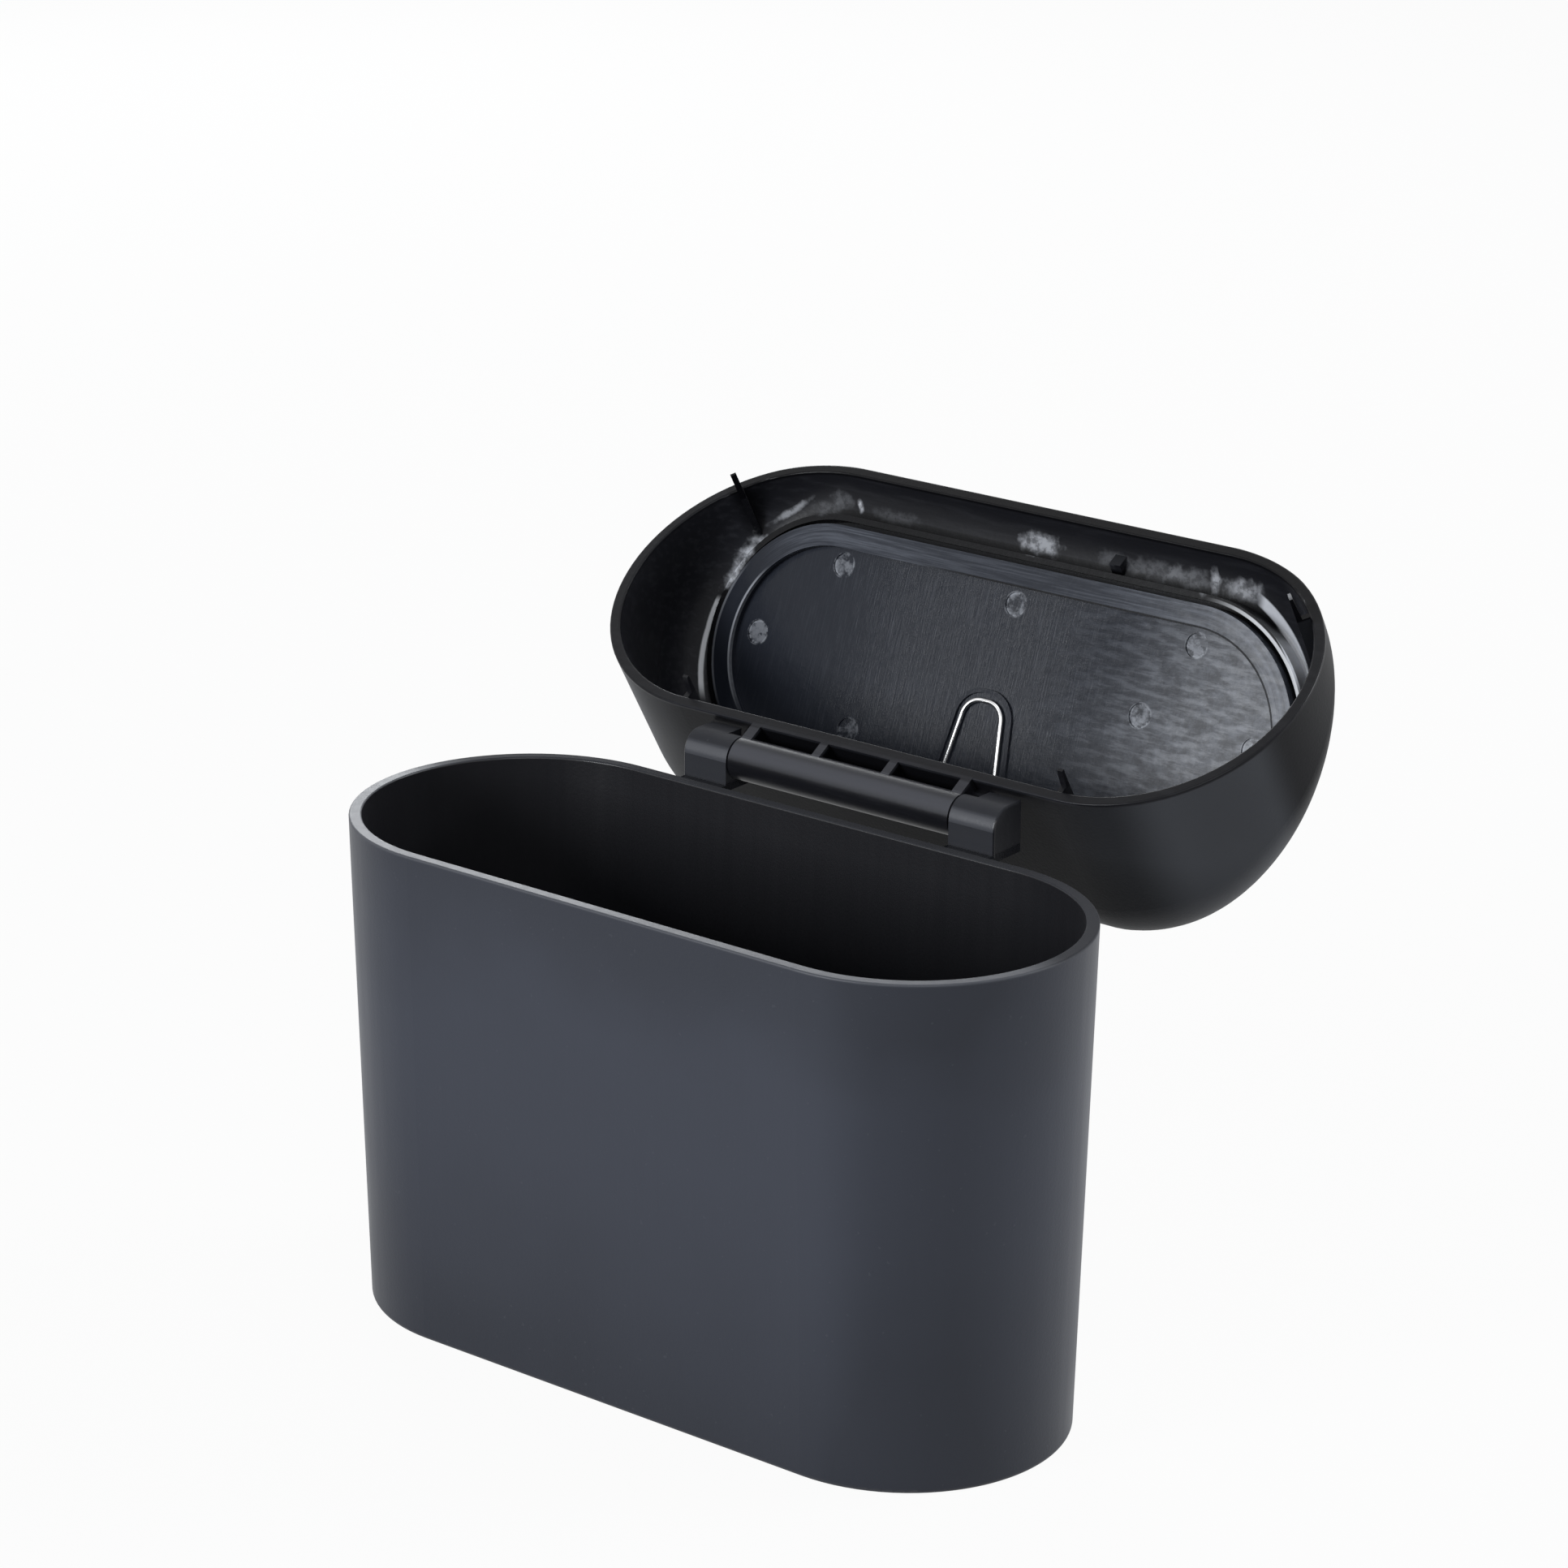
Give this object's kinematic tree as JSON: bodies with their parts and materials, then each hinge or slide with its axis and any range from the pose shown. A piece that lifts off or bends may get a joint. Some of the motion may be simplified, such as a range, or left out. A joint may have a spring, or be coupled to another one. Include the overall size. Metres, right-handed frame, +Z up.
{
  "type": "car trash bin",
  "caption": "Small stadium-shaped car waste bin with a hinged helmet lid; a sprung press flap in the lid's sloped top swings inwards.",
  "frame": {"origin": "centre of the flat base, on the surface that the bin stands on", "axes": "+Z up, +X along the bin's length, +Y towards the hinge at the rear"},
  "size_m": [0.16, 0.1393, 0.1456],
  "materials": {
    "body_plastic": "satin moulded charcoal",
    "lid_plastic": "satin outside, semi-gloss inside",
    "flap_plastic": "semi-gloss with fine moulding streaks",
    "pin_steel": "drawn bright",
    "spring_steel": "bright drawn wire"
  },
  "bodies": {
    "bin": {"bin_body": "body_plastic", "lid_hinge_pin": "pin_steel"},
    "lid": {"lid_shell": "lid_plastic", "flap_hinge_pin": "pin_steel", "flap_spring": "spring_steel"},
    "flap": {"press_flap": "flap_plastic"}
  },
  "joints": [
    {"name": "lid_hinge", "type": "hinge", "parent": "bin", "child": "lid", "pos_m": [0, 0.0411, 0.10385], "axis": [1, 0, 0], "range_deg": [0, 149.1]},
    {"name": "flap_hinge", "type": "hinge", "parent": "lid", "child": "flap", "pos_m": [0, 0.07583, 0.08394], "axis": [1, 0, 0], "range_deg": [0, 45], "stiffness_Nm_per_rad": 0.02, "springref_deg": -22.92, "deforming": ["flap_spring"]}
  ]
}
